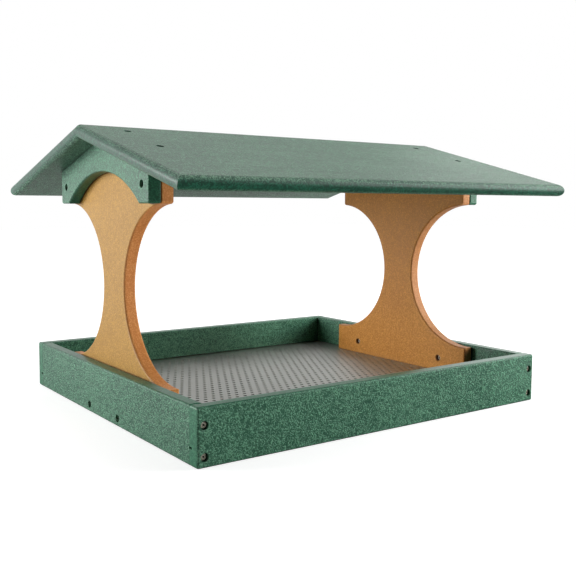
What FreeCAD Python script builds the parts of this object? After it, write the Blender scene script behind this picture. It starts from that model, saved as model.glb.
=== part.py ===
import FreeCAD, Part
import math
import os

Vec = FreeCAD.Vector

# Frame: X runs along the tray, -Y is the front, Z is up.
# The origin is the centre of the tray's underside. All sizes are in millimetres.

# Stock
board = 12.7                  # thickness of every plastic board
board_ease = 2.0              # rounding of the boards' long edges
corner_round = 2.5            # rounding of the corners sawn into an outline
sawn_ease = 0.8               # at the end boards' sawn ends, where the seams show

# Tray
tray_length = 426.0
tray_width = 368.0
tray_height = 50.8

# Floor
rail_recess = 1.7             # underside of the rail above the tray's underside
rail_width = 95.0
sheet_thickness = 1.2
groove_depth = 4.0
groove_clearance = 0.8        # free height over the sheet in its groove
sheet_edge_gap = 0.5          # between the sheet's edge and the groove's end
drain_hole_diameter = 4.0
drain_pitch = 90.0            # the outer holes keep at least half of it from the boards
pole_hole_spacing = 60.0      # square pattern for a pole flange, under the rail
pole_hole_diameter = 3.2

# Uprights
waist_width = 48.0
scoop_radius = 82.2
shoulder_drop = 2.0           # lowest point of the scoops below the tray's rim
foot_width = 221.0
head_width = 204.0
head_side_height = 33.9       # vertical side of the head, up to the roof

# Gable boards
arch_span = 163.2
arch_rise = 30.8

# Roof
roof_pitch = 15.3             # degrees
roof_end_overhang = 25.0      # past the tray's ends
roof_side_overhang = 12.0     # past the tray's long sides, at the panels' undersides
roof_edge_flat = 0.4          # left between the upper and lower rounding of its edges

# Screws
tray_screw_head = 6.5
tray_screw_shank = 3.8
tray_screw_length = 32.0
tray_seat_depth = 4.0
small_screw_head = 5.4
small_screw_shank = 3.4
small_seat_depth = 4.5
rail_screw_length = 32.0
roof_screw_length = 30.0
screw_head_height = 2.2
counterbore = 7.5             # width of the sunk hole over every head
shank_clearance = 0.15        # between a shank and its hole, all round
tip_cover = 2.5               # board left over the tip of a screw through two boards
tip_room = 1.0                # hole beyond the tip

# Screw places
corner_screw_inset = 7.0      # from the tray's ends
corner_screw_low = 9.1        # above the tray's underside
corner_screw_drop = 15.4      # below the rim
rail_screw_inset = 14.0       # from the rail's long edges
foot_screw_inset = 40.0       # from the foot's ends
foot_screw_drop = 19.8        # below the rim
gable_screw_inset = 13.7      # from the head's ends
gable_screw_height = 17.4     # above the head's lower corners
roof_screw_near = 22.0        # from the ridge, level
roof_screw_inset = 14.0       # outer ones, from the head's ends, level

# Levels and planes worked out from the sizes above
end_x = tray_length / 2
side_y = tray_width / 2
inner_x = end_x - board
inner_y = side_y - board
upright_inner_x = inner_x - board
floor_seat = rail_recess + board
sheet_top = floor_seat + sheet_thickness
scoop_z = tray_height - shoulder_drop + scoop_radius
scoop_y = waist_width / 2 + scoop_radius
head_z = scoop_z + scoop_radius
pitch = math.radians(roof_pitch)
ridge_under_z = head_z + head_side_height + head_width / 2 * math.tan(pitch)
ridge_top_z = ridge_under_z + board / math.cos(pitch)
roof_end_x = end_x + roof_end_overhang
roof_round = (board - roof_edge_flat) / 2
eave_y = side_y + roof_side_overhang
past = 20.0                   # how far a cutting shape runs past what it cuts

X_AXIS = Vec(1, 0, 0)
Y_AXIS = Vec(0, 1, 0)
Z_AXIS = Vec(0, 0, 1)


def block(x0, x1, y0, y1, z0, z1):
    return Part.makeBox(x1 - x0, y1 - y0, z1 - z0, Vec(x0, y0, z0))


def prism_along_x(points, x0, x1):
    """A solid with the outline of (y, z) points, from x0 to x1."""
    corners = [Vec(x0, y, z) for y, z in points]
    outline = Part.makePolygon(corners + corners[:1])
    return Part.Face(outline).extrude(X_AXIS * (x1 - x0))


def runs_along(edge, axis):
    """True for a straight edge parallel to the axis."""
    if not isinstance(edge.Curve, Part.Line):
        return False
    return abs(abs(edge.Curve.Direction.dot(axis)) - 1) < 1e-6


def near(value, target):
    return abs(value - target) < 1e-4


def rounded(solid, radius, wanted):
    return solid.makeFillet(radius, [edge for edge in solid.Edges if wanted(edge)])


def half_turn(solid):
    """The same piece at the opposite place, turned about the upright centre line."""
    copy = solid.copy()
    copy.rotate(Vec(0, 0, 0), Z_AXIS, 180)
    return copy


# Roof geometry shared by the panels, heads and screws

def roof_underside(y):
    return ridge_under_z - abs(y) * math.tan(pitch)


def roof_top_point(x, y):
    return Vec(x, y, ridge_top_z - abs(y) * math.tan(pitch))


def roof_inward(y):
    """Direction square to the panel over y, pointing down into it."""
    side = -1 if y > 0 else 1
    return Vec(0, side * math.sin(pitch), -math.cos(pitch))


# Screws and their holes

def six_sided(radius, base, direction, length):
    """A bar inside a circle of the radius, with one corner on the side towards up or the ridge."""
    across = Vec(0, direction.z, -direction.y) if direction.x == 0 else Z_AXIS
    turn = FreeCAD.Rotation(direction, 60)
    arm = across * radius
    corners = []
    for _ in range(6):
        corners.append(base + arm)
        arm = turn.multVec(arm)
    return Part.Face(Part.makePolygon(corners + corners[:1])).extrude(direction * length)


class Screw:
    """A pan head screw driven from a surface point along a direction.

    Shanks and their holes are six-sided, which keeps the many hidden ones light.
    """

    def __init__(self, point, direction, small, length):
        self.direction = direction
        self.length = length
        self.head_radius = (small_screw_head if small else tray_screw_head) / 2
        self.shank_radius = (small_screw_shank if small else tray_screw_shank) / 2
        self.seat_depth = small_seat_depth if small else tray_seat_depth
        self.seat = point + direction * self.seat_depth

    def solid(self):
        top = self.seat - self.direction * screw_head_height
        head = Part.makeCylinder(self.head_radius, screw_head_height, top, self.direction)
        shank = six_sided(self.shank_radius, self.seat, self.direction, self.length)
        return head.fuse(shank)

    def hole(self):
        start = self.seat - self.direction * (self.seat_depth + past)
        mouth = Part.makeCylinder(counterbore / 2, self.seat_depth + past, start, self.direction)
        bore = six_sided(self.shank_radius + shank_clearance, self.seat, self.direction,
                         self.length + tip_room)
        return mouth.fuse(bore)


def corner_screws():
    heights = (corner_screw_low, tray_height - corner_screw_drop)
    places = [(x, y, z) for y in (-side_y, side_y)
              for x in (-end_x + corner_screw_inset, end_x - corner_screw_inset)
              for z in heights]
    return [Screw(Vec(x, y, z), Y_AXIS * (1 if y < 0 else -1), False, tray_screw_length)
            for x, y, z in places]


def rail_screws():
    reach = rail_width / 2 - rail_screw_inset
    middle = rail_recess + board / 2
    return [Screw(Vec(x, y, middle), X_AXIS * (1 if x < 0 else -1), True, rail_screw_length)
            for x in (-end_x, end_x) for y in (-reach, reach)]


through_two_boards = 2 * board - small_seat_depth - tip_cover


def foot_screws():
    reach = foot_width / 2 - foot_screw_inset
    height = tray_height - foot_screw_drop
    return [Screw(Vec(x, y, height), X_AXIS * (-1 if x < 0 else 1), True, through_two_boards)
            for x in (-upright_inner_x, upright_inner_x) for y in (-reach, reach)]


def gable_screws():
    reach = head_width / 2 - gable_screw_inset
    height = head_z + gable_screw_height
    return [Screw(Vec(x, y, height), X_AXIS * (1 if x < 0 else -1), True, through_two_boards)
            for x in (-end_x, end_x) for y in (-reach, reach)]


def roof_screws():
    over_upright = upright_inner_x + board / 2
    far = head_width / 2 - roof_screw_inset
    return [Screw(roof_top_point(x, y), roof_inward(y), True, roof_screw_length)
            for x in (-over_upright, over_upright)
            for y in (-far, -roof_screw_near, roof_screw_near, far)]


def drilled(solid, *groups):
    holes = [screw.hole() for group in groups for screw in group]
    reached = [hole for hole in holes if hole.BoundBox.intersect(solid.BoundBox)]
    return solid.cut(reached)


# Tray boards

def tray_front_board():
    """Full length, over the ends of the end boards, with the floor's groove inside."""
    solid = block(-end_x, end_x, -side_y, -inner_y, 0, tray_height)

    def eased(edge):
        c = edge.CenterOfMass
        against_end_board = near(c.y, -inner_y) and runs_along(edge, Z_AXIS)
        return not against_end_board

    solid = rounded(solid, board_ease, eased)
    groove = block(-end_x - past, end_x + past, -inner_y - groove_depth, -inner_y + past,
                   floor_seat, sheet_top + groove_clearance)
    return drilled(solid.cut(groove), corner_screws())


def tray_left_end():
    """Between the long boards."""
    solid = block(-end_x, -inner_x, -inner_y, inner_y, 0, tray_height)
    solid = rounded(solid, sawn_ease, lambda edge: runs_along(edge, Z_AXIS)
                    and near(edge.CenterOfMass.x, -end_x))
    solid = rounded(solid, board_ease, lambda edge: runs_along(edge, Y_AXIS))
    groove = block(-inner_x - groove_depth, -inner_x + past, -side_y, side_y,
                   floor_seat, sheet_top + groove_clearance)
    return drilled(solid.cut(groove), corner_screws(), rail_screws(), foot_screws())


# Floor

def drain_places(reach):
    """Evenly spaced places, symmetric about zero, at least half a pitch inside the reach."""
    steps = int(2 * reach / drain_pitch) - 1
    return [(i - steps / 2) * drain_pitch for i in range(steps + 1)]


def floor_screen():
    """Thin sheet held in the four boards' grooves and on the rail."""
    reach_x = inner_x + groove_depth - sheet_edge_gap
    reach_y = inner_y + groove_depth - sheet_edge_gap
    sheet = block(-reach_x, reach_x, -reach_y, reach_y, floor_seat, sheet_top)
    holes = [Part.makeCylinder(drain_hole_diameter / 2, sheet_thickness + 2 * past,
                               Vec(x, y, floor_seat - past))
             for x in drain_places(upright_inner_x) for y in drain_places(inner_y)]
    return sheet.cut(holes)


def floor_rail():
    """Lies flat under the floor and carries the pole flange."""
    solid = block(-inner_x, inner_x, -rail_width / 2, rail_width / 2, rail_recess, floor_seat)
    solid = rounded(solid, board_ease, lambda edge: runs_along(edge, X_AXIS)
                    and edge.CenterOfMass.z < floor_seat - board / 2)
    reach = pole_hole_spacing / 2
    holes = [Part.makeCylinder(pole_hole_diameter / 2, board + 2 * past,
                               Vec(x, y, rail_recess - past))
             for x in (-reach, reach) for y in (-reach, reach)]
    return drilled(solid.cut(holes), rail_screws())


# Uprights and gable boards

def scoop(side):
    """The round waist cut on one side of an upright, open to that side."""
    far = max(foot_width, head_width) / 2 + past
    axis_start = Vec(-end_x, side * scoop_y, scoop_z)
    round_part = Part.makeCylinder(scoop_radius, 2 * board + past, axis_start, X_AXIS)
    low, high = sorted((side * scoop_y, side * (scoop_y + far)))
    open_part = block(-end_x, -end_x + 2 * board + past, low, high,
                      scoop_z - scoop_radius, scoop_z + scoop_radius)
    return round_part.fuse(open_part)


def upright_left():
    """Hourglass board from the floor to the roof, inside the end board."""
    foot, head = foot_width / 2, head_width / 2
    half = [(foot, sheet_top), (foot, scoop_z), (head, scoop_z), (head, roof_underside(head))]
    mirrored = [(-y, z) for y, z in reversed(half)]
    outline = half + [(0, ridge_under_z)] + mirrored
    solid = prism_along_x(outline, -inner_x, -upright_inner_x).cut([scoop(-1), scoop(1)])

    def outline_corner(edge):
        c = edge.CenterOfMass
        return runs_along(edge, X_AXIS) and near(abs(c.y), head) and c.z < head_z + board

    solid = rounded(solid, corner_round, outline_corner)

    def face_edge(edge):
        c = edge.CenterOfMass
        on_face = near(c.x, -inner_x) or near(c.x, -upright_inner_x)
        return on_face and not runs_along(edge, Y_AXIS) and not sloped(edge)

    solid = rounded(solid, board_ease, face_edge)
    return drilled(solid, foot_screws(), gable_screws(), roof_screws())


def sloped(edge):
    """True for a straight edge that follows the roof."""
    if not isinstance(edge.Curve, Part.Line):
        return False
    return abs(abs(edge.Curve.Direction.z) - math.sin(pitch)) < 1e-6


def gable_left():
    """Arched board over the outside of an upright's head."""
    head = head_width / 2
    outline = [(-head, head_z), (head, head_z), (head, roof_underside(head)),
               (0, ridge_under_z), (-head, roof_underside(head))]
    solid = prism_along_x(outline, -end_x, -inner_x)
    arch_radius = ((arch_span / 2) ** 2 + arch_rise ** 2) / (2 * arch_rise)
    arch_start = Vec(-end_x - past, 0, head_z + arch_rise - arch_radius)
    solid = solid.cut(Part.makeCylinder(arch_radius, board + 2 * past, arch_start, X_AXIS))

    def outline_corner(edge):
        c = edge.CenterOfMass
        return runs_along(edge, X_AXIS) and near(abs(c.y), head) and near(c.z, head_z)

    solid = rounded(solid, corner_round, outline_corner)

    def face_edge(edge):
        c = edge.CenterOfMass
        on_face = near(c.x, -end_x) or near(c.x, -inner_x)
        return on_face and not sloped(edge)

    solid = rounded(solid, board_ease, face_edge)
    return drilled(solid, gable_screws())


# Roof

def roof_front_panel():
    """Mitred at the ridge, with a nearly half-round edge at the eave and both ends."""
    out, up = math.sin(pitch) * board, math.cos(pitch) * board
    eave_under = (-eave_y, roof_underside(eave_y))
    eave_top = (-eave_y - out, eave_under[1] + up)
    outline = [(0, ridge_under_z), eave_under, eave_top, (0, ridge_top_z)]
    solid = prism_along_x(outline, -roof_end_x, roof_end_x)
    panel_axis = Vec(0, -math.sin(pitch), math.cos(pitch))

    def top_edge(edge):
        c = edge.CenterOfMass
        on_top = near((c - Vec(0, 0, ridge_top_z)).dot(panel_axis), 0)
        return on_top and not near(c.y, 0)

    def under_edge(edge):
        c = edge.CenterOfMass
        on_underside = near((c - Vec(0, 0, ridge_under_z)).dot(panel_axis), 0)
        return on_underside and not near(c.y, 0)

    solid = rounded(solid, roof_round, top_edge)
    solid = rounded(solid, roof_round, under_edge)
    return drilled(solid, roof_screws())


def screw_group(screws):
    return Part.makeCompound([screw.solid() for screw in screws])


def build():
    front, left_end = tray_front_board(), tray_left_end()
    upright, gable, roof = upright_left(), gable_left(), roof_front_panel()
    return {
        "tray_front_board": front,
        "tray_rear_board": half_turn(front),
        "tray_left_end": left_end,
        "tray_right_end": half_turn(left_end),
        "floor_screen": floor_screen(),
        "floor_rail": floor_rail(),
        "upright_left": upright,
        "upright_right": half_turn(upright),
        "gable_left": gable,
        "gable_right": half_turn(gable),
        "roof_front_panel": roof,
        "roof_rear_panel": half_turn(roof),
        "tray_corner_screws": screw_group(corner_screws()),
        "rail_screws": screw_group(rail_screws()),
        "upright_foot_screws": screw_group(foot_screws()),
        "gable_screws": screw_group(gable_screws()),
        "roof_screws": screw_group(roof_screws()),
    }


os.makedirs("parts", exist_ok=True)
for name, shape in build().items():
    shape.exportStep(os.path.join("parts", name + ".step"))
    print(name, "solids", len(shape.Solids), "valid", shape.isValid(),
          "volume", round(shape.Volume), "mm3")
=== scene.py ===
# %% [markdown]
# A covered bird table, sawn and routed from recycled plastic boards and screwed together.
# The boards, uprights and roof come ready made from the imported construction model, which fixes
# every size and place. This file dresses them: it gives each board its finish, makes the floor's
# fine perforation and the screw heads in mesh code, and sets up a plain studio.
# All lengths are in metres.

import math

import bmesh
import bpy
import numpy as np
from mathutils import Euler, Matrix, Vector
from mathutils.geometry import delaunay_2d_cdt


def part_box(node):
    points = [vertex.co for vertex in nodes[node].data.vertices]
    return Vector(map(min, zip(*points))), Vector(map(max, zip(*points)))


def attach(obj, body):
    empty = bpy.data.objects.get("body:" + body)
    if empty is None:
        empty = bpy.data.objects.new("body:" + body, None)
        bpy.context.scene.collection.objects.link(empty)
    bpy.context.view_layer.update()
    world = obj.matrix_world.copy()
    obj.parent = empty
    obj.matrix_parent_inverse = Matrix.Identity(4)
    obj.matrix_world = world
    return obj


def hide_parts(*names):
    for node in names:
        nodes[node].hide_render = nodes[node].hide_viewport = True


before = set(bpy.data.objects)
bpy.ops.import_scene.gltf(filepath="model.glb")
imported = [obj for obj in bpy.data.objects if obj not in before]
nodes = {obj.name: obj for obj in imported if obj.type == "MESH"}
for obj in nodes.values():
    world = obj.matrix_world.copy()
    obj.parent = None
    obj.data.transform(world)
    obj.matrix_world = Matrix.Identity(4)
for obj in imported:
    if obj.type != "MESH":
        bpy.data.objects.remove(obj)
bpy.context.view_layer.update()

# %% [markdown]
# The camera stands low, to the left of the front, about 0.9 m away. A camera can be placed by eye
# or solved from corners whose sizes are known. These values were solved. The lens is slightly off
# the picture's middle, which a small shift repeats.

# %% Place the camera
CAMERA_PLACE = Vector((-0.5291, -0.7198, 0.2111))
CAMERA_PITCH = math.radians(-4.74)
CAMERA_HEADING = math.radians(33.64)      # from +Y towards +X
CAMERA_ROLL = math.radians(0.16)
PICTURE_SIDE = 576                        # in pixels, as are the next two
FOCAL_LENGTH = 793.9
PRINCIPAL_POINT = (240.0, 272.0)
SENSOR_WIDTH = 36.0                       # in millimetres, as Blender wants it

camera_data = bpy.data.cameras.new("camera")
camera_data.sensor_width = SENSOR_WIDTH
camera_data.lens = FOCAL_LENGTH / PICTURE_SIDE * SENSOR_WIDTH
camera_data.shift_x = (PICTURE_SIDE / 2 - PRINCIPAL_POINT[0]) / PICTURE_SIDE
camera_data.shift_y = (PRINCIPAL_POINT[1] - PICTURE_SIDE / 2) / PICTURE_SIDE
camera = bpy.data.objects.new("camera", camera_data)
camera.location = CAMERA_PLACE
camera.rotation_euler = Euler((math.pi / 2 + CAMERA_PITCH, -CAMERA_ROLL, -CAMERA_HEADING))
bpy.context.scene.collection.objects.link(camera)
bpy.context.scene.camera = camera
print("lens:", round(camera_data.lens, 2), "mm")

# %% [markdown]
# Materials are built from nodes. They could be wired one line at a time, but a few small helpers
# keep that readable: each adds a node to a tree, sets its options, and for each input either
# plugs in a wire or writes a value.

# %% Helpers for nodes
def feed(tree, made, inputs):
    """Plug a wire, or write a plain value, into each named or numbered input."""
    for socket, value in inputs.items():
        if isinstance(value, bpy.types.NodeSocket):
            tree.links.new(value, made.inputs[socket])
        else:
            made.inputs[socket].default_value = value
    return made


def add(tree, kind, inputs=None, **options):
    """A new node in the tree; inputs are wires or plain values."""
    made = tree.nodes.new("ShaderNode" + kind)
    for option, value in options.items():
        setattr(made, option, value)
    return feed(tree, made, inputs or {})


def math_node(tree, operation, a, b=0.0, clamp=False):
    return add(tree, "Math", {0: a, 1: b}, operation=operation, use_clamp=clamp).outputs[0]


def mix_colours(tree, factor, a, b):
    """Colour a where the factor is 0, colour b where it is 1."""
    return add(tree, "Mix", {0: factor, 6: a, 7: b}, data_type="RGBA").outputs[2]


def remap(tree, value, low, high, to_low=0.0, to_high=1.0):
    """The value stretched from low..high onto to_low..to_high and held inside it."""
    return add(tree, "MapRange", {0: value, 1: low, 2: high, 3: to_low, 4: to_high}).outputs[0]


# %% [markdown]
# Several materials share an effect, such as rubbed edges. It could be copied into each of them,
# but a node group is built once and placed wherever it is wanted, with values of its own.

# %% Helpers for node groups
def new_group(name, inputs, outputs):
    """An empty node group with named sockets: (tree, its input wires, its output node)."""
    tree = bpy.data.node_groups.new(name, "ShaderNodeTree")
    for label, kind, value in inputs:
        socket = tree.interface.new_socket(label, in_out="INPUT", socket_type="NodeSocket" + kind)
        if value is not None:
            socket.default_value = value
    for label, kind in outputs:
        tree.interface.new_socket(label, in_out="OUTPUT", socket_type="NodeSocket" + kind)
    return tree, tree.nodes.new("NodeGroupInput").outputs, tree.nodes.new("NodeGroupOutput").inputs


def place_group(tree, group, inputs):
    """A copy of the group in a material's tree, with its own values: its output wires."""
    made = tree.nodes.new("ShaderNodeGroup")
    made.node_tree = group
    return feed(tree, made, inputs).outputs


# %% [markdown]
# Recycled plastic board is pressed from chips of many bottles, and its skin cools with short,
# winding, paler flecks in it. An image of real board would tile and smear round the corners.
# Noise in three dimensions runs through the board as the chips do. Where noise passes through
# its middle value it draws winding lines, and a sharp fall on both sides leaves only those.
# A finer noise breaks the lines into flecks.

# %% Group: mottle
FLECK_FULL, FLECK_GONE = 0.01, 0.11       # how far the noise is from its middle value
GRAIN_FINENESS = 2.7                      # grains to the length of a fleck
GRAIN_LOW, GRAIN_HIGH = 0.38, 0.60        # where a fleck is broken and where it is whole
BROKEN_REST = 0.05                        # what is left of a fleck where it is broken
GRAIN_SHARE = 0.3                         # the grains' share of the height
MIDDLE_HEIGHT, MIDDLE_TONE = 0.34, 0.4
TONE_SPREAD = 1.8


def make_mottle():
    tree, given, result = new_group(
        "mottle",
        [("Vector", "Vector", None), ("Fleck Size", "Float", 0.003), ("Contrast", "Float", 1.0)],
        [("Mask", "Float"), ("Height", "Float")])
    per_metre = math_node(tree, "DIVIDE", 1.0, given["Fleck Size"])
    winding = add(tree, "TexNoise", {"Vector": given["Vector"], "Scale": per_metre, "Detail": 1.5,
                                     "Roughness": 0.5, "Distortion": 1.2}).outputs["Fac"]
    from_middle = math_node(tree, "ABSOLUTE", math_node(tree, "SUBTRACT", winding, 0.5))
    lines = remap(tree, from_middle, FLECK_FULL, FLECK_GONE, 1.0, 0.0)
    fine_scale = math_node(tree, "MULTIPLY", per_metre, GRAIN_FINENESS)
    grains = add(tree, "TexNoise", {"Vector": given["Vector"], "Scale": fine_scale,
                                    "Detail": 2.0, "Roughness": 0.6}).outputs["Fac"]
    whole = remap(tree, grains, GRAIN_LOW, GRAIN_HIGH, BROKEN_REST, 1.0)
    flecks = math_node(tree, "MULTIPLY", lines, whole)
    height = math_node(tree, "ADD", math_node(tree, "MULTIPLY", flecks, 1 - GRAIN_SHARE),
                       math_node(tree, "MULTIPLY", grains, GRAIN_SHARE))
    centred = math_node(tree, "SUBTRACT", height, MIDDLE_HEIGHT)
    strength = math_node(tree, "MULTIPLY", given["Contrast"], TONE_SPREAD)
    spread = math_node(tree, "MULTIPLY", centred, strength)
    tree.links.new(math_node(tree, "ADD", spread, MIDDLE_TONE, clamp=True), result["Mask"])
    tree.links.new(height, result["Height"])
    return tree


mottle_group = make_mottle()
print("group:", mottle_group.name)

# %% [markdown]
# The boards are drawn through a planer, which leaves faint streaks along their length. A noise
# that is squeezed in one direction gives them: the coordinates are divided by the streak's
# length along the board and by its width across it.

# %% Group: planer streaks
NOISE_LOW, NOISE_HIGH = 0.3, 0.7          # most of a noise's values lie between these


def make_streaks():
    tree, given, result = new_group(
        "planer streaks",
        [("Vector", "Vector", None), ("Streak Shape", "Vector", (0.15, 0.002, 0.002))],
        [("Mask", "Float")])
    squeezed = add(tree, "VectorMath", {0: given["Vector"], 1: given["Streak Shape"]},
                   operation="DIVIDE").outputs[0]
    noise = add(tree, "TexNoise", {"Vector": squeezed, "Scale": 1.0, "Detail": 4.0,
                                   "Roughness": 0.65}).outputs["Fac"]
    tree.links.new(remap(tree, noise, NOISE_LOW, NOISE_HIGH), result["Mask"])
    return tree


streak_group = make_streaks()
print("group:", streak_group.name)

# %% [markdown]
# Edges rub pale first. Where an edge is can be painted by hand, read from the mesh's corners, or
# found while rendering: rays sent into the board leave it early near an edge, so an ambient
# occlusion node that looks inside marks edges of any shape, rounded ones too. A noise makes the
# wear patchy.

# %% Group: edge wear
OCCLUSION_RAYS = 6
DEEP_INSIDE, AT_EDGE = 0.95, 0.45         # what the inside occlusion reads at each
PATCHES_PER_METRE = 60.0
PATCH_LOW, PATCH_HIGH = 0.35, 0.65
PATCH_REST = 0.25                         # wear that is left between the patches


def make_edge_wear():
    tree, given, result = new_group(
        "edge wear",
        [("Vector", "Vector", None), ("Reach", "Float", 0.003), ("Amount", "Float", 0.5)],
        [("Mask", "Float")])
    inside = add(tree, "AmbientOcclusion", {"Distance": given["Reach"]},
                 samples=OCCLUSION_RAYS, inside=True, only_local=True).outputs["AO"]
    edge = remap(tree, inside, DEEP_INSIDE, AT_EDGE)
    noise = add(tree, "TexNoise", {"Vector": given["Vector"], "Scale": PATCHES_PER_METRE,
                                   "Detail": 5.0, "Roughness": 0.7}).outputs["Fac"]
    patches = remap(tree, noise, PATCH_LOW, PATCH_HIGH, PATCH_REST, 1.0)
    rubbed = math_node(tree, "MULTIPLY", edge, patches)
    tree.links.new(math_node(tree, "MULTIPLY", rubbed, given["Amount"], clamp=True),
                   result["Mask"])
    return tree


wear_group = make_edge_wear()
print("group:", wear_group.name)

# %% [markdown]
# A sawn or routed face shows the board's core, which differs in colour from the pressed skin.
# The core could be its own material slot on those faces. Here the face's direction decides: a
# point belongs to the skin when its normal lies along the board's thickness, and the change
# from skin to core falls in the rounded edge between them. That edge, the arris, gets a mask
# too, which the board recipe uses to paint a shade line along it.

# %% Group: sawn faces
SAWN_BELOW, SKIN_ABOVE = 0.45, 0.85       # cosine between the normal and the thickness axis
ARRIS_COSINE = 0.8
ARRIS_FULL, ARRIS_GONE = 0.05, 0.17       # how far the cosine is from the arris's


def make_sawn():
    tree, given, result = new_group(
        "sawn faces", [("Thickness Axis", "Vector", (1.0, 0.0, 0.0))],
        [("Mask", "Float"), ("Arris", "Float")])
    normal = add(tree, "TexCoord").outputs["Normal"]
    aligned = add(tree, "VectorMath", {0: normal, 1: given["Thickness Axis"]},
                  operation="DOT_PRODUCT").outputs["Value"]
    aligned = math_node(tree, "ABSOLUTE", aligned)
    tree.links.new(remap(tree, aligned, SAWN_BELOW, SKIN_ABOVE, 1.0, 0.0), result["Mask"])
    from_arris = math_node(tree, "ABSOLUTE",
                           math_node(tree, "SUBTRACT", aligned, ARRIS_COSINE))
    tree.links.new(remap(tree, from_arris, ARRIS_FULL, ARRIS_GONE, 1.0, 0.0), result["Arris"])
    return tree


sawn_group = make_sawn()
print("group:", sawn_group.name)

# %% [markdown]
# Where two boards meet, the rounded edges leave a narrow groove that gets little light, and this
# group paints that shade into the colour. A line could be painted along each joint, but it would
# have to know where the boards are. An ambient occlusion node that looks outwards finds every such
# groove by itself, because its rays meet the neighbour at once. The reach is short, so open faces
# get no painted shade.

# %% Group: joint shade
OPEN_AIR, CLOSED_JOINT = 0.95, 0.40       # what the outside occlusion reads at each


def make_joint_shade():
    tree, given, result = new_group(
        "joint shade", [("Reach", "Float", 0.003), ("Amount", "Float", 0.5)], [("Mask", "Float")])
    outside = add(tree, "AmbientOcclusion", {"Distance": given["Reach"]},
                  samples=OCCLUSION_RAYS).outputs["AO"]
    closed = remap(tree, outside, OPEN_AIR, CLOSED_JOINT)
    tree.links.new(math_node(tree, "MULTIPLY", closed, given["Amount"]), result["Mask"])
    return tree


joint_shade_group = make_joint_shade()
print("group:", joint_shade_group.name)

# %% [markdown]
# A colour is easiest to choose as the eye reads it, from 0 to 255, but the renderer counts
# light. One helper turns the first into the second, and another starts a material.

# %% Helpers for colours and materials
def rgb(red, green, blue):
    """A colour given as the eye reads it, 0 to 255, turned into light values."""
    def light(value):
        value /= 255
        return value / 12.92 if value <= 0.04045 else ((value + 0.055) / 1.055) ** 2.4
    return (light(red), light(green), light(blue), 1.0)


def new_material(name):
    material = bpy.data.materials.new(name)
    material.use_nodes = True
    return material, material.node_tree, material.node_tree.nodes["Principled BSDF"]


# %% [markdown]
# One recipe makes every board, so all of them look cut from the same kind of stock, and a look
# gives its colours and strengths. The colour is laid on in layers: pressed skin or sawn core,
# then rubbed edges, then a painted shade line along the arris, and last painted shade in the
# grooves where boards meet.

# %% Board material
STREAK_LENGTH, STREAK_WIDTH = 0.15, 0.0022
BATCHES_PER_METRE = 9.0                   # slow changes of tone, from uneven mixing
BATCH_SPREAD = 0.08
WEAR_REACH = 0.003
# reach and darkness of the painted shade in the grooves where boards meet
JOINT_SHADE_REACH, JOINT_SHADE_AMOUNT = 0.002, 0.85
FLECK_LOW, FLECK_HIGH = 0.1, 0.7          # range of the mottle's height
SKIN_SMOOTH, SKIN_ROUGH = 0.42, 0.52
STREAK_RELIEF = 0.25                      # the streaks' share of the relief
SAWN_RELIEF = 0.15                        # share of the relief that a sawn face has
RELIEF_DEPTH = 0.0005


def board_material(name, look, along, thickness, offset):
    """along: the board's length axis; thickness: the axis across its flat faces."""
    material, tree, shader = new_material(name)
    place = add(tree, "TexCoord").outputs["Object"]
    place = add(tree, "VectorMath", {0: place, 1: offset}, operation="ADD").outputs[0]
    mottle = place_group(tree, mottle_group, {"Vector": place, "Fleck Size": look["fleck"],
                                              "Contrast": look["contrast"]})
    shape = [STREAK_WIDTH] * 3
    shape["XYZ".index(along)] = STREAK_LENGTH
    streaks = place_group(tree, streak_group, {"Vector": place, "Streak Shape": shape})
    wear = place_group(tree, wear_group, {"Vector": place, "Reach": WEAR_REACH,
                                          "Amount": look["wear"]})
    sawn = place_group(tree, sawn_group, {"Thickness Axis": thickness})
    batch = add(tree, "TexNoise", {"Vector": place, "Scale": BATCHES_PER_METRE,
                                   "Detail": 2.0}).outputs["Fac"]
    batch = remap(tree, batch, NOISE_LOW, NOISE_HIGH, -BATCH_SPREAD, BATCH_SPREAD)
    tone = math_node(tree, "ADD", mottle["Mask"], batch)
    streak_tone = remap(tree, streaks["Mask"], 0.0, 1.0, -look["streaks"], look["streaks"])
    tone = math_node(tree, "ADD", tone, streak_tone, clamp=True)
    skin = mix_colours(tree, tone, look["dark"], look["light"])
    core = mix_colours(tree, tone, look["core_dark"], look["core_light"])
    colour = mix_colours(tree, sawn["Mask"], skin, core)
    colour = mix_colours(tree, wear["Mask"], colour, look["rubbed"])
    # painted shade line along the rounded edge between skin and core
    arris = math_node(tree, "MULTIPLY", sawn["Arris"], look["arris_shade_share"])
    colour = mix_colours(tree, arris, colour, look["arris"])
    # painted shade in the grooves where two boards meet
    joint = place_group(tree, joint_shade_group, {"Reach": JOINT_SHADE_REACH, "Amount": JOINT_SHADE_AMOUNT})
    colour = mix_colours(tree, joint["Mask"], colour, look["joint"])
    tree.links.new(colour, shader.inputs["Base Color"])
    skin_rough = remap(tree, mottle["Height"], FLECK_LOW, FLECK_HIGH, SKIN_SMOOTH, SKIN_ROUGH)
    rough = add(tree, "Mix", {0: sawn["Mask"], 2: skin_rough, 3: look["sawn_rough"]}).outputs[0]
    tree.links.new(rough, shader.inputs["Roughness"])
    relief = math_node(tree, "ADD",
                       math_node(tree, "MULTIPLY", mottle["Height"], 1 - STREAK_RELIEF),
                       math_node(tree, "MULTIPLY", streaks["Mask"], STREAK_RELIEF))
    fading = remap(tree, sawn["Mask"], 0.0, 1.0, 1.0, SAWN_RELIEF)
    relief = math_node(tree, "MULTIPLY", relief, fading)
    bump = add(tree, "Bump", {"Strength": look["relief"], "Distance": RELIEF_DEPTH,
                              "Height": relief})
    tree.links.new(bump.outputs[0], shader.inputs["Normal"])
    shader.inputs["Specular IOR Level"].default_value = look["gloss"]
    return material
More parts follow.
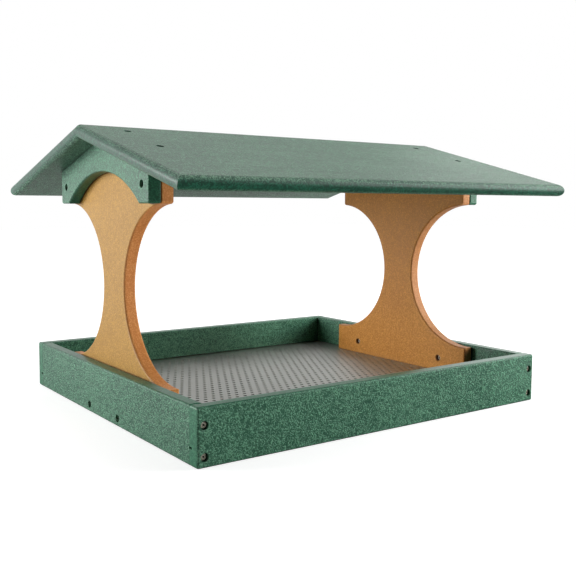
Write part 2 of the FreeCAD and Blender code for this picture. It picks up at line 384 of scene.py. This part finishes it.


# %% [markdown]
# The tray, gables and roof are green board, and the uprights are tan. Each colour is a pair, dark
# between the flecks and light on them. The tray's sawn tops are paler, the roof has been planed
# harder and shows streaks, and its routed edges are smoother and darker, the darkness partly
# painted shade on the eave, which faces down and gets little light. The tan's sawn faces are
# painted brighter and redder, partly for warm light that bounces onto them inside the tray. The
# right upright is the same tan, with its colour painted redder for that bounced light and with
# darker sawn edges. The arris and joint colours are painted shade. A look that differs from
# another in a few values only is written as that other look with those values changed.

# %% Looks of the boards
green = {
    "dark": rgb(20, 69, 50), "light": rgb(91, 146, 115),
    "core_dark": rgb(18, 72, 49), "core_light": rgb(48, 112, 82),
    "rubbed": rgb(118, 166, 138), "wear": 0.22,
    # painted shade: a line along the arris, switched off here, and the grooves between boards
    "arris": rgb(18, 72, 49), "arris_shade_share": 0.0,
    "joint": rgb(8, 30, 22),
    "fleck": 0.0036, "contrast": 0.85, "streaks": 0.06, "relief": 0.9,
    "gloss": 0.5, "sawn_rough": 0.38,
}
tray_green = dict(green, core_dark=rgb(30, 86, 62), core_light=rgb(66, 126, 96))
roof_green = dict(
    green, dark=rgb(30, 72, 54), light=rgb(102, 146, 118),
    # a darker core, partly painted shade on the eave, which faces down and gets little light
    core_dark=rgb(6, 54, 38), core_light=rgb(26, 92, 68), wear=0.05,
    contrast=1.3, streaks=0.22, relief=1.4, gloss=0.45, sawn_rough=0.35)
tan = {
    "dark": rgb(152, 111, 44), "light": rgb(186, 143, 66),
    # sawn faces, painted brighter and redder partly for warm light bounced onto them
    "core_dark": rgb(210, 130, 70), "core_light": rgb(234, 164, 98),
    "rubbed": rgb(212, 168, 100), "wear": 0.22,
    # painted shade along the arris and in the grooves between boards
    "arris": rgb(150, 84, 36), "arris_shade_share": 0.55,
    "joint": rgb(70, 40, 20),
    "fleck": 0.0036, "contrast": 0.8, "streaks": 0.06, "relief": 0.4,
    "gloss": 0.3, "sawn_rough": 0.50,
}
# the same tan, painted redder for warm bounced light, with darker sawn edges
tan_with_painted_bounce = dict(
    tan, dark=rgb(171, 111, 40), light=rgb(205, 142, 60),
    core_dark=rgb(166, 108, 62), core_light=rgb(192, 138, 88))
print("looks: green, tray green, roof green, tan, red tan")

# %% [markdown]
# Each board is cut from its own length of stock, so it gets its own offset into the noise, and
# the flecks don't run on from one board into the next. A board's length axis is listed.
# The axis across its flat faces could be named too, but the roof panels slope, so it is measured
# instead: it is the direction in which most of the board's surface faces.

# %% Dress the boards
finishes = {
    "tray_front_board": (tray_green, "X"), "tray_rear_board": (tray_green, "X"),
    "tray_left_end": (tray_green, "Y"), "tray_right_end": (tray_green, "Y"),
    "floor_rail": (tray_green, "X"), "gable_left": (green, "Y"), "gable_right": (green, "Y"),
    "roof_front_panel": (roof_green, "X"), "roof_rear_panel": (roof_green, "X"),
    "upright_left": (tan, "Z"), "upright_right": (tan_with_painted_bounce, "Z"),
}
OFFSET_STEP = Vector((0.731, 1.297, 0.413))


def flat_axis(node):
    """The direction across the board's flat faces, which is that of the most face area."""
    areas, directions = {}, {}
    for face in nodes[node].data.polygons:
        key = tuple(round(abs(part), 2) for part in face.normal)
        areas[key] = areas.get(key, 0.0) + face.area
        directions[key] = tuple(face.normal)
    return directions[max(areas, key=areas.get)]


for count, (node, (look, along)) in enumerate(finishes.items(), start=1):
    thickness = flat_axis(node)
    board = board_material("board " + node, look, along, thickness, OFFSET_STEP * count)
    nodes[node].material_slots[0].material = board
    print(node, "is flat across", tuple(round(part, 3) for part in thickness))

# %% [markdown]
# The floor is a thin metal sheet punched with round holes, which drain the rain. The holes stand
# in staggered rows, as a punch press leaves them: each row is shifted by half a hole's pitch,
# and the rows are closer together than the holes in a row. A plain border stays round the edge.

# %% Holes of the floor sheet
HOLE_RADIUS = 0.0021
HOLE_PITCH = 0.0095
PLAIN_BORDER = 0.019


def sheet_holes(low, high):
    """Centres of the staggered holes between two corners, centred on the middle."""
    row_gap = HOLE_PITCH * math.sqrt(3) / 2
    reach_x = (high.x - low.x) / 2 - PLAIN_BORDER - HOLE_RADIUS
    reach_y = (high.y - low.y) / 2 - PLAIN_BORDER - HOLE_RADIUS
    rows = int(reach_y / row_gap)
    centres = []
    for row in range(-rows, rows + 1):
        shift = HOLE_PITCH / 2 if row % 2 else 0.0
        columns = int((reach_x - shift) / HOLE_PITCH)
        for column in range(-columns - (1 if shift else 0), columns + 1):
            centres.append((column * HOLE_PITCH + shift, row * row_gap))
    return centres


sheet_low, sheet_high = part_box("floor_screen")
hole_centres = sheet_holes(sheet_low, sheet_high)
print("holes in the floor sheet:", len(hole_centres))

# %% [markdown]
# Cutting thousands of cylinders out of a slab is slow and leaves poor faces. Here the outline
# and all the circles are triangulated once in two dimensions, the triangles that fall in holes
# are dropped, and the flat pattern is doubled and walled to the sheet's thickness.

# %% Perforated floor sheet
HOLE_SIDES = 12
INSIDE_ONLY = 1                           # the triangulation's mode: nothing past the outline
SAME_POINT = 1e-9


def perforated_sheet(name, low, high, centres):
    points = [(low.x, low.y), (high.x, low.y), (high.x, high.y), (low.x, high.y)]
    loops = [[0, 1, 2, 3]]
    turn = 2 * math.pi / HOLE_SIDES
    for x, y in centres:
        loops.append(list(range(len(points), len(points) + HOLE_SIDES)))
        points += [(x + HOLE_RADIUS * math.cos(turn * k), y + HOLE_RADIUS * math.sin(turn * k))
                   for k in range(HOLE_SIDES)]
    flat, _, triangles, _, _, owners = delaunay_2d_cdt(
        [Vector(p) for p in points], [], loops, INSIDE_ONLY, SAME_POINT)
    kept = [t for t, owner in zip(triangles, owners) if owner == [0]]
    total = len(flat)
    vertices = [(p.x, p.y, high.z) for p in flat] + [(p.x, p.y, low.z) for p in flat]
    faces = [tuple(t) for t in kept] + [tuple(total + v for v in reversed(t)) for t in kept]
    for loop in loops:
        for a, b in zip(loop, loop[1:] + loop[:1]):
            faces.append((a, total + a, total + b, b))
    mesh = bpy.data.meshes.new(name)
    mesh.from_pydata(vertices, [], faces)
    mesh.validate()
    shaped = bmesh.new()
    shaped.from_mesh(mesh)
    bmesh.ops.recalc_face_normals(shaped, faces=shaped.faces)
    shaped.to_mesh(mesh)
    shaped.free()
    sheet = bpy.data.objects.new(name, mesh)
    bpy.context.scene.collection.objects.link(sheet)
    print(name, "faces:", len(mesh.polygons))
    return sheet


sheet = perforated_sheet("floor_sheet_punched", sheet_low, sheet_high, hole_centres)
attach(sheet, "root")
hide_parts("floor_screen")

# %% [markdown]
# The sheet is aluminium as it leaves the rolling mill: dull, with fine lines along the roll and
# soft clouds where it has been handled. Metal takes its look from what it mirrors, so the lines
# go into the roughness and the bump more than into the colour.

# %% Floor sheet material
ROLL_LINE = (0.2, 0.0006, 0.0006)         # length and width of a line
LINE_SHARE = 0.4                          # the lines' share of the tone; the rest is clouds
CLOUDS_PER_METRE = 22.0
TONE_LOW, TONE_HIGH = 0.2, 0.8
METAL_SMOOTH, METAL_ROUGH = 0.36, 0.52
LINE_STRENGTH, LINE_DEPTH = 0.2, 0.00005


def sheet_material():
    material, tree, shader = new_material("rolled aluminium")
    place = add(tree, "TexCoord").outputs["Object"]
    lines = place_group(tree, streak_group, {"Vector": place, "Streak Shape": ROLL_LINE})
    clouds = add(tree, "TexNoise", {"Vector": place, "Scale": CLOUDS_PER_METRE,
                                    "Detail": 4.0}).outputs["Fac"]
    tone = math_node(tree, "ADD", math_node(tree, "MULTIPLY", lines["Mask"], LINE_SHARE),
                     math_node(tree, "MULTIPLY", clouds, 1 - LINE_SHARE))
    colour = mix_colours(tree, tone, rgb(150, 150, 146), rgb(196, 196, 192))
    tree.links.new(colour, shader.inputs["Base Color"])
    tree.links.new(remap(tree, tone, TONE_LOW, TONE_HIGH, METAL_SMOOTH, METAL_ROUGH),
                   shader.inputs["Roughness"])
    shader.inputs["Metallic"].default_value = 1.0
    bump = add(tree, "Bump", {"Strength": LINE_STRENGTH, "Distance": LINE_DEPTH,
                              "Height": lines["Mask"]})
    tree.links.new(bump.outputs[0], shader.inputs["Normal"])
    return material


sheet.data.materials.append(sheet_material())
print("material:", sheet.data.materials[0].name)

# %% [markdown]
# The screws are pan heads with a square drive, sunk in the boards. The construction model holds
# each one as a plain head and shank. Their places could be typed in again, but then a moved
# screw would be left behind, so they are read from the model: every loose piece of a group's
# mesh is one screw, its long axis is the shank, and the wider end is the head.

# %% Find the screws in a group
RIM_SHARE = 0.98                          # points at this share of the greatest radius or more
TIP_SLICE = 1e-5                          # depth of the slice that measures the shank's end


def loose_parts(mesh):
    """The points of each connected piece of a mesh."""
    parent = list(range(len(mesh.vertices)))

    def root(i):
        while parent[i] != i:
            parent[i] = parent[parent[i]]
            i = parent[i]
        return i

    spots = {}
    for vertex in mesh.vertices:
        key = tuple(round(c, 6) for c in vertex.co)
        parent[root(vertex.index)] = root(spots.setdefault(key, vertex.index))
    for edge in mesh.edges:
        a, b = edge.vertices
        parent[root(a)] = root(b)
    parts = {}
    for vertex in mesh.vertices:
        parts.setdefault(root(vertex.index), []).append(vertex.co)
    return [np.array(points) for points in parts.values()]


def measure_screw(points):
    """Top of the head, driving direction, head radius, head height, shank radius and length."""
    middle = (points.min(0) + points.max(0)) / 2
    spread = points - points.mean(0)
    axis = np.linalg.eigh(spread.T @ spread)[1][:, -1]
    along = (points - middle) @ axis
    away = np.linalg.norm((points - middle) - np.outer(along, axis), axis=1)
    if along[away.argmax()] > 0:
        axis, along = -axis, -along
    start, end = along.min(), along.max()
    head_radius = away.max()
    head_end = along[away > head_radius * RIM_SHARE].max()
    shank_radius = away[along > end - TIP_SLICE].max()
    top = Vector(middle + axis * start)
    return top, Vector(axis), head_radius, head_end - start, shank_radius, end - head_end


screw_nodes = ("tray_corner_screws", "rail_screws", "upright_foot_screws", "gable_screws",
               "roof_screws")
screws = {node: [measure_screw(points) for points in loose_parts(nodes[node].data)]
          for node in screw_nodes}
print("screws found:", {node: len(found) for node, found in screws.items()})

# %% [markdown]
# A turned part is a stack of rings. Sixteen points to a ring are enough at this size, and they
# also divide by four, so the rings can change from round to square at the drive's mouth without
# an extra face. The head is a low dome, and the shank ends in a point. All the screws of a group
# go into one mesh, each turned into its own place.

# %% Turn the screws
RING_POINTS = 16
DRIVE_SHARE = 0.32            # half the drive's width as a share of the head's radius
DRIVE_FLOOR = (0.85, 0.75)    # the recess: width as a share of the drive's, depth of the head's
DRIVE_MOUTH = (1.0, 0.06)
DRIVE_LIP = (1.12, 0.0)
DOME_RINGS = (0.62, 0.8, 0.92, 0.98, 1.0)     # as shares of the head's radius
DOME_START, DOME_DROP = 0.03, 0.62            # as shares of the head's height
HEAD_BEVEL = 0.97
POINT_START, POINT_WIDTH = 0.88, 0.12         # as shares of the shank's length and radius
SHANK_EASE = 0.97             # the turned shank is a little slimmer than the plain one
SHARP_ANGLE = math.radians(40)


def ring(radius, height, square=False):
    points = []
    for k in range(RING_POINTS):
        angle = 2 * math.pi * (k + 0.5) / RING_POINTS
        reach = radius
        if square:
            reach = radius / max(abs(math.cos(angle)), abs(math.sin(angle)))
        points.append((reach * math.cos(angle), reach * math.sin(angle), height))
    return points


def screw_rings(head_radius, head_height, shank_radius, length):
    """Rings from the drive's floor, up and over the head, and down the shank; z is the depth."""
    drive = head_radius * DRIVE_SHARE
    rings = [ring(drive * width, head_height * depth, square=True)
             for width, depth in (DRIVE_FLOOR, DRIVE_MOUTH, DRIVE_LIP)]
    for share in DOME_RINGS:
        drop = 1 - math.sqrt(1 - share ** 2)
        rings.append(ring(head_radius * share, head_height * (DOME_START + DOME_DROP * drop)))
    rings += [ring(head_radius, head_height * HEAD_BEVEL),
              ring(head_radius * HEAD_BEVEL, head_height),
              ring(shank_radius, head_height),
              ring(shank_radius, head_height + length * POINT_START),
              ring(shank_radius * POINT_WIDTH, head_height + length)]
    return rings


def screws_object(name, node):
    shaped = bmesh.new()
    for top, direction, head_radius, head_height, shank_radius, length in screws[node]:
        turn = direction.to_track_quat("Z", "X").to_matrix().to_4x4()
        to_place = Matrix.Translation(top) @ turn
        rings = screw_rings(head_radius, head_height, shank_radius * SHANK_EASE, length)
        rows = [[shaped.verts.new(to_place @ Vector(p)) for p in points] for points in rings]
        for upper, lower in zip(rows, rows[1:]):
            for k in range(RING_POINTS):
                n = (k + 1) % RING_POINTS
                shaped.faces.new((upper[k], upper[n], lower[n], lower[k]))
        shaped.faces.new(rows[0])
        shaped.faces.new(rows[-1])
    bmesh.ops.recalc_face_normals(shaped, faces=shaped.faces)
    mesh = bpy.data.meshes.new(name)
    shaped.to_mesh(mesh)
    shaped.free()
    mesh.shade_smooth()
    mesh.set_sharp_from_angle(angle=SHARP_ANGLE)
    made = bpy.data.objects.new(name, mesh)
    bpy.context.scene.collection.objects.link(made)
    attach(made, "root")
    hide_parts(node)
    print(name, "faces:", len(mesh.polygons))
    return made


screw_pieces = [screws_object(node + "_turned", node) for node in screw_nodes]

# %% [markdown]
# Outdoor screws wear a dull warm grey coating, brighter where the driver has slipped on the rim.
# The drive's recess gets painted shade: ambient occlusion finds it, and the colour there is made
# dark. The coating hides most of the metal, so the material is only partly metallic.

# %% Screw material
SPECKS_PER_METRE = 900.0
# painted shade in the drive's recess
RECESS_REACH = 0.002
RECESS_FULL, RECESS_GONE = 0.25, 0.75     # what the occlusion reads in the recess and outside
RIM_WEAR_REACH, RIM_WEAR = 0.0006, 0.8
COAT_SMOOTH, COAT_ROUGH = 0.38, 0.55
METAL_SHOWING = 0.35


def screw_material():
    material, tree, shader = new_material("coated screw steel")
    place = add(tree, "TexCoord").outputs["Object"]
    specks = add(tree, "TexNoise", {"Vector": place, "Scale": SPECKS_PER_METRE,
                                    "Detail": 3.0}).outputs["Fac"]
    open_air = add(tree, "AmbientOcclusion", {"Distance": RECESS_REACH},
                   samples=OCCLUSION_RAYS, only_local=True).outputs["AO"]
    wear = place_group(tree, wear_group, {"Vector": place, "Reach": RIM_WEAR_REACH,
                                          "Amount": RIM_WEAR})
    coat = mix_colours(tree, specks, rgb(196, 186, 166), rgb(236, 228, 210))
    # the recess is painted dark as shade
    outside = remap(tree, open_air, RECESS_FULL, RECESS_GONE)
    coat = mix_colours(tree, outside, rgb(40, 36, 32), coat)
    coat = mix_colours(tree, wear["Mask"], coat, rgb(212, 208, 200))
    tree.links.new(coat, shader.inputs["Base Color"])
    tree.links.new(remap(tree, specks, NOISE_LOW, NOISE_HIGH, COAT_SMOOTH, COAT_ROUGH),
                   shader.inputs["Roughness"])
    shader.inputs["Metallic"].default_value = METAL_SHOWING
    return material


steel = screw_material()
for piece in screw_pieces:
    piece.data.materials.append(steel)
print("material:", steel.name, "on", len(screw_pieces), "pieces")

# %% [markdown]
# The studio is plain: a white surround, a white floor and soft lamps. The surround could be a
# bent sheet of white card, but the world's background does the same. It is bright for the camera
# and for reflections only, so it shows white without washing out the boards' colours. What the
# boards mirror is bright behind the object and dim in front and overhead, which gives the
# rounded edges their play from pale to dark.

# %% Surround
SOFT_LIGHT = 0.22             # the surround's light on the boards, as a share of its brightness
DIM_ROOM = 0.10               # brightness of the room in front, that of the backdrop being 1
DIM_CEILING = 0.25            # share of that brightness left overhead
BACKDROP_HEADING = Vector((math.sin(CAMERA_HEADING), math.cos(CAMERA_HEADING), 0.0))
ROOM_BELOW, BACKDROP_ABOVE = -0.35, 0.25      # cosine from the backdrop's heading
WALL_BELOW, CEILING_ABOVE = 0.55, 0.85        # height in the surround, 1 being straight up
WHITE = (1.0, 1.0, 1.0, 1.0)

world = bpy.data.worlds.new("surround")
bpy.context.scene.world = world
world.use_nodes = True
surround = world.node_tree
background = surround.nodes["Background"]
background.inputs["Color"].default_value = WHITE
heading = add(surround, "TexCoord").outputs["Generated"]
towards_back = add(surround, "VectorMath", {0: heading, 1: BACKDROP_HEADING},
                   operation="DOT_PRODUCT").outputs["Value"]
brightness = remap(surround, towards_back, ROOM_BELOW, BACKDROP_ABOVE, DIM_ROOM, 1.0)
height = add(surround, "SeparateXYZ", {0: heading}).outputs["Z"]
overhead = remap(surround, height, WALL_BELOW, CEILING_ABOVE, 1.0, DIM_CEILING)
brightness = math_node(surround, "MULTIPLY", brightness, overhead)
paths = add(surround, "LightPath").outputs
shown = math_node(surround, "MAXIMUM", paths["Is Camera Ray"], paths["Is Transmission Ray"])
share = math_node(surround, "MAXIMUM", paths["Is Glossy Ray"], SOFT_LIGHT)
lighting = math_node(surround, "MULTIPLY", share, brightness)
strength = math_node(surround, "MAXIMUM", shown, lighting)
surround.links.new(strength, background.inputs["Strength"])
print("surround:", world.name)

# %% [markdown]
# The floor is white, and keeps the shadow. A floor lit brightly enough to look white would throw
# too much light up at the boards. Instead it glows for the camera, a little less round the tray,
# where its paint has to show the shadow. The paint has a shade for each kind of ray: one for the
# camera, one for the light that it sends up, and a dark one for what the boards mirror, so that
# they don't go grey. They mirror its glow too, but only from the back and the left.

# %% Floor
FLOOR_SIZE, FLOOR_DROP = 12, 0.0003       # just under the tray, so that the two don't flicker
FLOOR_ROUGH = 0.9
GLOW_NEAR, GLOW_FAR = 0.72, 1.0
NEAR_RADIUS, FAR_RADIUS = 0.5, 1.6
MIRRORED_FRONT, MIRRORED_BACK = 0.02, 1.4
MIRRORED_NEAR = 0.4           # share of the mirrored brightness that is left round the tray
MIRRORED_RADII = (0.55, 0.75)
LIT_SIDE = (-0.5, 0.87, 0.0)  # the floor is mirrored bright at the back and on the left
LIT_EDGE = 0.2                # half the width of the change from dim to bright
SEEN_PAINT, BOUNCE_PAINT, MIRRORED_PAINT = 0.5, 0.80, 0.12

bpy.ops.mesh.primitive_plane_add(size=FLOOR_SIZE, location=(0, 0, -FLOOR_DROP))
floor = bpy.context.object
floor.name = "studio_floor"
floor_paint, floor_tree, floor_shader = new_material("white studio floor")
floor_shader.inputs["Roughness"].default_value = FLOOR_ROUGH
floor_shader.inputs["Specular IOR Level"].default_value = 0.0
floor_shader.inputs["Emission Color"].default_value = WHITE
floor_place = add(floor_tree, "TexCoord").outputs["Object"]
from_middle = add(floor_tree, "VectorMath", {0: floor_place}, operation="LENGTH").outputs["Value"]
glow = remap(floor_tree, from_middle, NEAR_RADIUS, FAR_RADIUS, GLOW_NEAR, GLOW_FAR)
floor_paths = add(floor_tree, "LightPath").outputs
paint = MIRRORED_PAINT
for path, amount in (("Is Camera Ray", SEEN_PAINT), ("Is Diffuse Ray", BOUNCE_PAINT)):
    paint = math_node(floor_tree, "MAXIMUM", paint,
                      math_node(floor_tree, "MULTIPLY", floor_paths[path], amount))
floor_tree.links.new(paint, floor_shader.inputs["Base Color"])
lit_side = add(floor_tree, "VectorMath", {0: floor_place, 1: LIT_SIDE},
               operation="DOT_PRODUCT").outputs["Value"]
floor_brightness = remap(floor_tree, lit_side, -LIT_EDGE, LIT_EDGE, MIRRORED_FRONT, MIRRORED_BACK)
nearness = remap(floor_tree, from_middle, *MIRRORED_RADII, MIRRORED_NEAR, 1.0)
mirrored_glow = math_node(floor_tree, "MULTIPLY", floor_paths["Is Glossy Ray"],
                          math_node(floor_tree, "MULTIPLY", floor_brightness, nearness))
shown_glow = math_node(floor_tree, "MAXIMUM", floor_paths["Is Camera Ray"],
                       floor_paths["Is Transmission Ray"])
glow = math_node(floor_tree, "MULTIPLY", glow,
                 math_node(floor_tree, "MAXIMUM", shown_glow, mirrored_glow))
floor_tree.links.new(glow, floor_shader.inputs["Emission Strength"])
floor.data.materials.append(floor_paint)
print("floor:", floor.name)

# %% [markdown]
# Five soft lamps light the boards. The strongest stands on the left, a little higher than the
# roof, and makes that side the brightest. One hangs overhead for the roof, a wide one on the
# right lights the long front board, and a weak one reaches the right side from behind. They
# could be square softboxes, but their corners would show in the rounded edges, so they are disks.
# The small lamp that fills the front board's right half isn't mirrored, since its reflection
# would be a hard spot.

# %% Lamps
LAMP_TARGET = Vector((0, 0, 0.12))
# name, place, size, power in watts, mirrored
LAMPS = (
    ("left_lamp", (-1.5, 0.8, 0.45), 0.9, 30.0, True),
    ("top_lamp", (0.0, 0.3, 1.9), 1.2, 16.0, True),
    ("right_front_lamp", (1.35, -0.75, 0.65), 1.5, 18.5, True),
    ("front_fill_lamp", (1.1, -0.75, 0.35), 0.6, 17.0, False),
    ("right_back_lamp", (1.4, 0.45, 0.6), 1.0, 3.0, True),
)


def soft_lamp(name, place, size, power, mirrored):
    lamp = bpy.data.lights.new(name, "AREA")
    lamp.shape = "DISK"
    lamp.size = size
    lamp.energy = power
    holder = bpy.data.objects.new(name, lamp)
    holder.visible_glossy = mirrored
    holder.location = place
    holder.rotation_euler = (Vector(place) - LAMP_TARGET).to_track_quat("Z", "Y").to_euler()
    bpy.context.scene.collection.objects.link(holder)


for lamp_values in LAMPS:
    soft_lamp(*lamp_values)
bpy.context.scene.view_settings.view_transform = "Standard"
print("lamps:", len(LAMPS))
